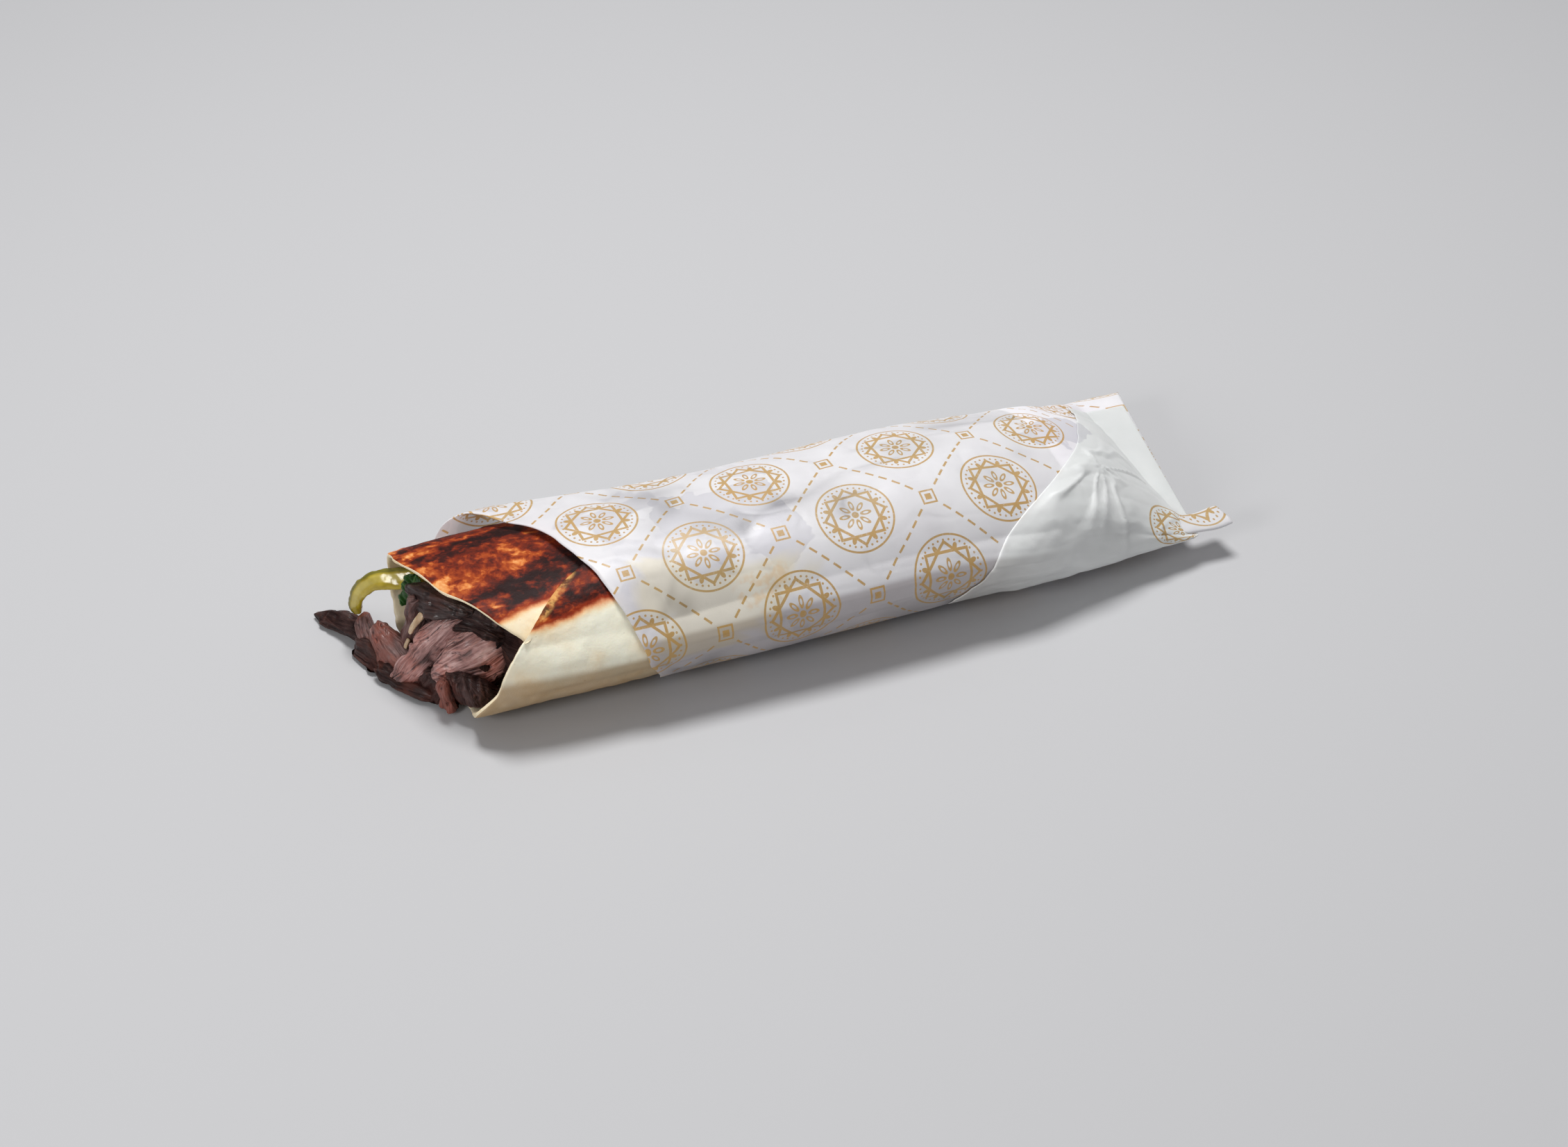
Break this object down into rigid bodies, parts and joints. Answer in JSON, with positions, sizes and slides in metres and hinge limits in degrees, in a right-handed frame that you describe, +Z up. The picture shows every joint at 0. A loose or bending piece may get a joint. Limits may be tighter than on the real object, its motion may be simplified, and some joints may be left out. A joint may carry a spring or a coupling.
{
  "type": "shawarma wrap",
  "caption": "Flatbread rolled round sliced beef, pickled pepper, onion and parsley, in printed greaseproof paper pinched flat at its far end.",
  "frame": {"origin": "middle of the bounding box's footprint, on the surface that the wrap lies on", "axes": "+X along the roll, from its open mouth to the pinched end of the paper; +Y across it, away from the bread's visible seam; +Z up"},
  "size_m": [0.271, 0.0848, 0.0455],
  "materials": {
    "flatbread": "matte",
    "beef": "satin",
    "pickled_pepper": "gloss",
    "onion": "satin",
    "parsley": "matte",
    "greaseproof_paper": "satin"
  },
  "bodies": {
    "root": {"bread": "flatbread", "beef_filling": "beef", "pickle_strip": "pickled_pepper", "onion_shred": "onion", "parsley_leaf": "parsley", "paper": "greaseproof_paper"}
  },
  "joints": []
}
